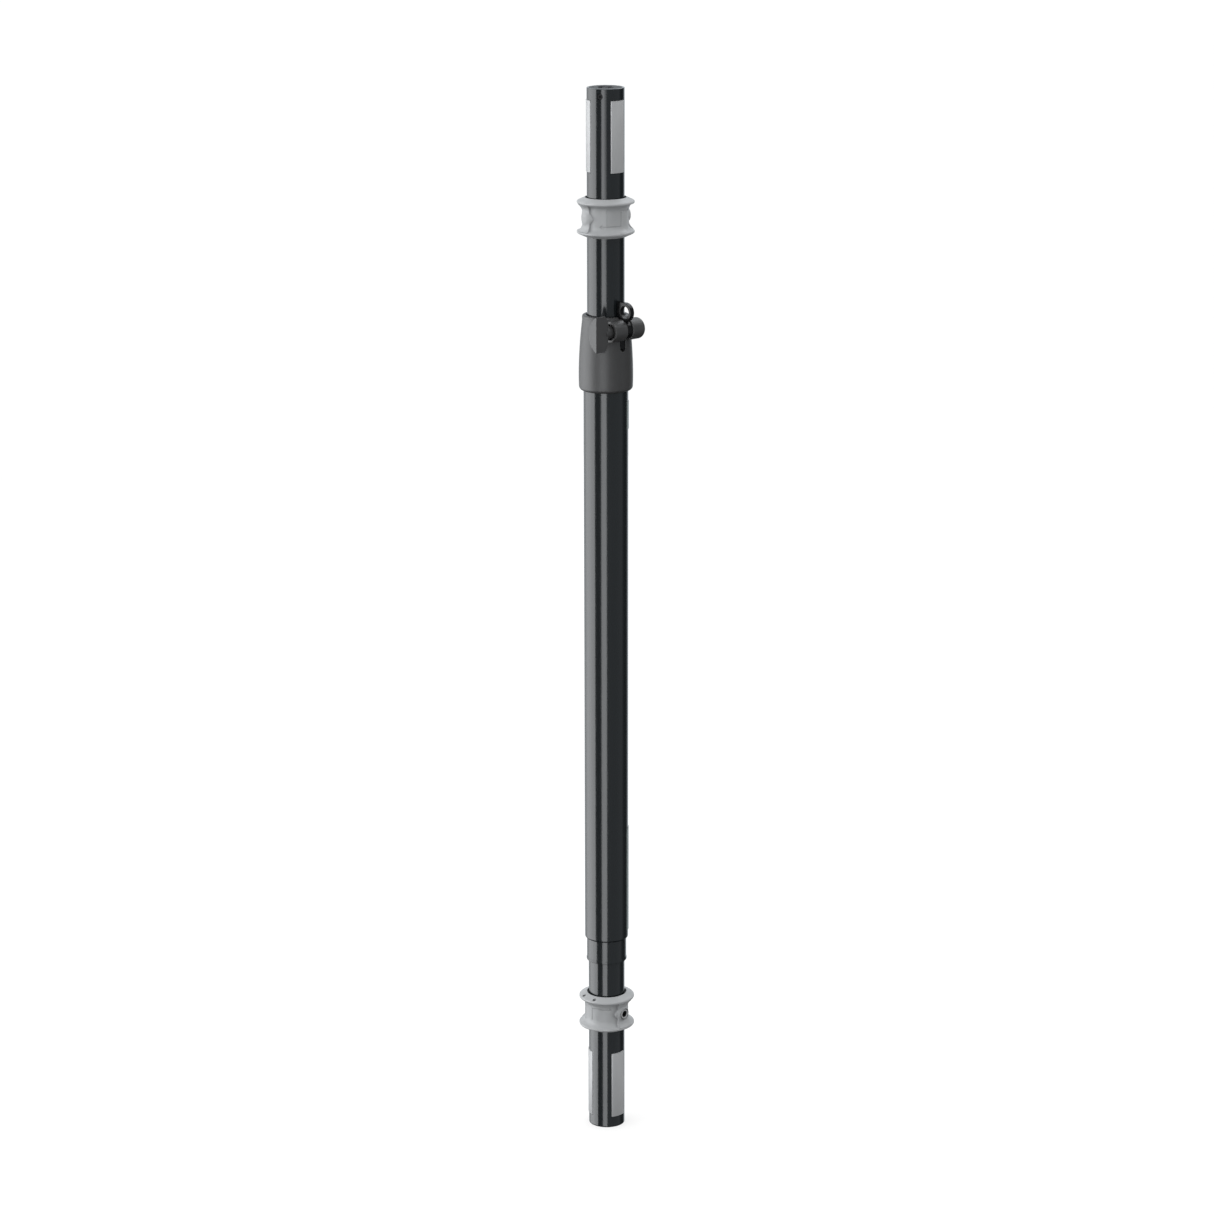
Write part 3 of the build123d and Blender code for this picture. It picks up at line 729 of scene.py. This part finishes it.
def clamp_stud():
    """M8 stud with real threads."""
    joint = JOINTS["knob_turn"]
    low, high = (v.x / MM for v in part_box("clamp_stud"))
    segments = 48
    turns = int((high - low - 2) / THREAD_PITCH)
    points, faces = [], []
    rows = turns * 4
    for i in range(rows + 1):
        for j in range(segments):
            angle = 2 * math.pi * j / segments
            phase = (i / 4 - j / segments) % 1.0
            depth = THREAD_DEPTH * (1 - abs(2 * phase - 1))
            along = low + 1 + (high - low - 2) * i / rows
            radius = STUD_RADIUS - depth
            points.append((along, radius * math.cos(angle), radius * math.sin(angle)))
    for i in range(rows):
        here, there = i * segments, (i + 1) * segments
        for j in range(segments):
            k = (j + 1) % segments
            faces.append((here + j, here + k, there + k, there + j))
    for row, along in ((0, low), (rows, high)):
        first = len(points)
        for j in range(segments):
            angle = 2 * math.pi * j / segments
            points.append((along, 3.1 * math.cos(angle), 3.1 * math.sin(angle)))
        for j in range(segments):
            k = (j + 1) % segments
            faces.append((row * segments + j, row * segments + k, first + k, first + j))
        faces.append(tuple(range(first, first + segments)))
    stud = add_mesh("clamp_stud_body", points, faces)
    face_outwards(stud)
    axis = joint["pos_m"]
    stud.data.transform(Matrix.Translation((0, axis[1], axis[2])))
    return place(stud, "clamp_stud", smooth_angle=50)


# ---- Build the looks ----------------------------------------------------------------
def build():
    """Every visual piece, and a material on each CAD node that stays."""
    slots = {part["node"]: part["material_slot"] for part in RECORD["subparts"]}
    for node, shape in frame["nodes"].items():
        shape.data.materials.clear()
        shape.data.materials.append(MATERIALS[slots[node]])
    outer_tube()
    reducing_sleeve()
    clamp_parts()
    clamp_stud()
    for end, node in (("lower", "lower_tube"), ("upper", "upper_tube")):
        end_tube(end, node)
        turn_ring(end)
        ring_bolt(end)
        for number, azimuth in enumerate(PAD_AZIMUTHS, start=1):
            pad(end, number, azimuth)


# ---- Stage, lights and camera -------------------------------------------------------
VIEW_AZIMUTH = -42.0
GLOSS_PANELS = (
    # azimuth from, to, measured from the camera; lowest and highest place; brightness
    (-60, -98, -1.35, 3.25, 4.5),
    (-98, -112, -1.35, 3.25, 3.8),
    (-112, -125, -1.35, 3.25, 2.8),
    (-125, -137, -1.35, 3.25, 1.5),
    (-137, -150, -1.35, 3.25, 0.8),
    (-25, -10, -1.35, 3.25, 4.0),
    (-10, 3, -1.35, 0.45, 4.1),
    (-10, -3, 0.45, 3.25, 2.8),
    (-3, 5, 0.45, 3.25, 1.4),
)
PANEL_DISTANCE = 2.6
HIGH_PANEL = (130, 2.0, 2.4, 2.2, 3.4, 3.5)     # azimuth, distance, width, low, high, brightness
GLOSS_ROOM = (
    # what the gloss sees between the panels: azimuth from the camera, brightness
    (-180, 1.0), (-158, 1.0), (-150, 0.15), (-58, 0.15), (-26, 0.2), (5, 0.3),
    (16, 0.42), (88, 0.42), (100, 0.12), (110, 0.05), (132, 0.05), (142, 0.5), (152, 1.0), (180, 1.0),
)
GLOSS_TILT = (
    # height of the direction from -1, straight down, to 1, straight up; brightness
    (-1.0, 0.03), (-0.6, 0.06), (-0.4, 1.0), (0.44, 1.0), (1.0, 1.6),
)
SKY = (
    # what the matt surfaces see all round
    (-180, 0.95), (-120, 1.35), (-85, 1.45), (-55, 1.45), (-25, 0.72),
    (0, 0.55), (60, 0.87), (120, 1.1), (180, 0.95),
)
SKY_TILT = ((-1.0, 0.38), (-0.15, 0.48), (0.1, 1.0), (0.5, 1.52), (1.0, 1.35))


FLOOR_GLOW = 0.66
WALL_GLOW = 1.02
COOL = (0.93, 1.0, 1.06)        # tints: the room seen in gloss, the sky, the softboxes
NEUTRAL = (1.0, 1.0, 1.0)
LAMP = (0.98, 1.0, 1.02)


def toward(azimuth, distance, height):
    """A place seen from the pole at an azimuth measured from the camera's, in metres."""
    way = outward(VIEW_AZIMUTH + azimuth)
    return way * distance + Vector((0, 0, height))


def panel(name, azimuth, distance, width, low, high, radiance):
    """A tall softbox that faces the pole, seen by gloss alone."""
    height, level = high - low, (low + high) / 2
    lamp = bpy.data.lights.new(name, "AREA")
    lamp.shape = "RECTANGLE"
    lamp.size = width
    lamp.size_y = height
    lamp.energy = radiance * width * height * math.pi
    lamp.color = LAMP
    holder = bpy.data.objects.new(name, lamp)
    holder.location = toward(azimuth, distance, level)
    aim = Vector((0, 0, level)) - holder.location
    holder.rotation_mode = "QUATERNION"
    holder.rotation_quaternion = aim.to_track_quat("-Z", "Y")
    holder.visible_camera = False
    holder.visible_diffuse = False
    bpy.context.scene.collection.objects.link(holder)


def ramp(tree, value, low, high, stops, tint=(1.0, 1.0, 1.0)):
    """Tinted level from (place, level) stops."""
    place_of = tree.nodes.new("ShaderNodeMapRange")
    place_of.inputs["From Min"].default_value = low
    place_of.inputs["From Max"].default_value = high
    tree.links.new(value, place_of.inputs["Value"])
    node = tree.nodes.new("ShaderNodeValToRGB")
    elements = node.color_ramp.elements
    while len(elements) < len(stops):
        elements.new(0.5)
    for element, (at, level) in zip(elements, stops):
        element.position = (at - stops[0][0]) / (stops[-1][0] - stops[0][0])
        element.color = (*(level * share for share in tint), 1)
    tree.links.new(place_of.outputs["Result"], node.inputs["Fac"])
    return node.outputs["Color"]


def by_direction(tree, direction, around, tilt, tint):
    """Brightness that depends on the way looked: a ramp all round times a ramp up and down."""
    def along(way):
        node = tree.nodes.new("ShaderNodeVectorMath")
        node.operation = "DOT_PRODUCT"
        node.inputs[1].default_value = way
        tree.links.new(direction, node.inputs[0])
        return node.outputs["Value"]

    turn = tree.nodes.new("ShaderNodeMath")
    turn.operation = "ARCTAN2"
    tree.links.new(along(outward(VIEW_AZIMUTH + 90)), turn.inputs[0])
    tree.links.new(along(outward(VIEW_AZIMUTH)), turn.inputs[1])
    mix = tree.nodes.new("ShaderNodeVectorMath")
    mix.operation = "MULTIPLY"
    tree.links.new(ramp(tree, turn.outputs["Value"], -math.pi, math.pi, around, tint), mix.inputs[0])
    tree.links.new(ramp(tree, along((0, 0, 1)), -1.0, 1.0, tilt), mix.inputs[1])
    return mix.outputs["Vector"]


def stage_piece(name, outline, albedo, emission):
    """Part of the stage, turned about Z, facing inwards, with no gloss or shadow of its own."""
    body = lathe(name, [(r / MM, z / MM) for r, z in outline], 96, closed=False)
    body.data.flip_normals()
    body.data.shade_smooth()
    material = bpy.data.materials.new(name)
    material.use_nodes = True
    shader = material.node_tree.nodes["Principled BSDF"]
    shader.inputs["Base Color"].default_value = (albedo, albedo, albedo, 1)
    shader.inputs["Roughness"].default_value = 1.0
    shader.inputs["Specular IOR Level"].default_value = 0.0
    shader.inputs["Emission Color"].default_value = (1, 1, 1, 1)
    shader.inputs["Emission Strength"].default_value = emission
    body.data.materials.clear()
    body.data.materials.append(material)
    body.visible_glossy = False
    body.visible_shadow = False
    return body, material.node_tree, shader


def backdrop():
    """Pale floor and a pale wall all round, seen by the camera alone."""
    floor = [(0.001, 0), (0.3, 0), (1.0, 0), (3.0, 0)]
    body = stage_piece("studio_floor", floor, 0.3, FLOOR_GLOW)[0]
    body.visible_diffuse = False
    wall = [(3.0, 0), (5, 0), (7, 0)]
    wall += arc((7, 2), 2, -90, 0, 10) + [(9, 5)] + arc((0, 5), 9, 8, 90, 12)
    body = stage_piece("studio_wall", wall, 0.0, WALL_GLOW)[0]
    body.visible_diffuse = False


def sky():
    """Soft light on the matt surfaces, brighter from above and from the left."""
    outline = arc((0, 0.5), 8.0, -89.9, 89.9, 24)
    body, tree, shader = stage_piece("studio_sky", outline, 0.0, 1.0)
    body.visible_camera = False
    geometry = tree.nodes.new("ShaderNodeNewGeometry")
    direction = tree.nodes.new("ShaderNodeVectorMath")
    direction.operation = "NORMALIZE"
    tree.links.new(geometry.outputs["Position"], direction.inputs[0])
    light = by_direction(tree, direction.outputs["Vector"], SKY, SKY_TILT, NEUTRAL)
    tree.links.new(light, shader.inputs["Emission Color"])


def surroundings():
    """What the gloss sees between the softboxes: a room that is pale behind the pole."""
    world = bpy.data.worlds.new("studio")
    bpy.context.scene.world = world
    world.use_nodes = True
    world.cycles.sampling_method = "NONE"
    world.cycles_visibility.diffuse = False
    tree = world.node_tree
    coords = tree.nodes.new("ShaderNodeTexCoord")
    light = by_direction(tree, coords.outputs["Generated"], GLOSS_ROOM, GLOSS_TILT, COOL)
    tree.links.new(light, tree.nodes["Background"].inputs["Color"])


def camera():
    """The view: from above the pole's top, looking down about 15 degrees."""
    lens, distance, height, pitch, yaw, roll = 105.34, 3.257, 1.4018, 15.065, 0.013, -0.07
    data = bpy.data.cameras.new("view")
    data.lens = lens
    data.sensor_width = 36
    data.clip_end = 60
    holder = bpy.data.objects.new("view", data)
    turn = Matrix.Rotation(math.radians(VIEW_AZIMUTH - yaw), 4, "Z")
    nod = Matrix.Rotation(math.radians(90 - pitch), 4, "X")
    lean = Matrix.Rotation(math.radians(roll), 4, "Z")
    holder.matrix_world = Matrix.Translation(toward(0, distance, height)) @ turn @ nod @ lean
    bpy.context.scene.collection.objects.link(holder)
    bpy.context.scene.camera = holder


def studio():
    """Lights, floor and camera."""
    backdrop()
    sky()
    surroundings()
    for number, (start, end, low, high, radiance) in enumerate(GLOSS_PANELS):
        half = math.radians(abs(end - start) / 2)
        width = 2 * PANEL_DISTANCE * math.tan(half)
        middle = (start + end) / 2
        panel(f"gloss_panel_{number}", middle, PANEL_DISTANCE, width, low, high, radiance)
    panel("gloss_high", *HIGH_PANEL)
    camera()
    view = bpy.context.scene.view_settings
    view.view_transform = "Standard"
    view.look = "None"


build()
studio()
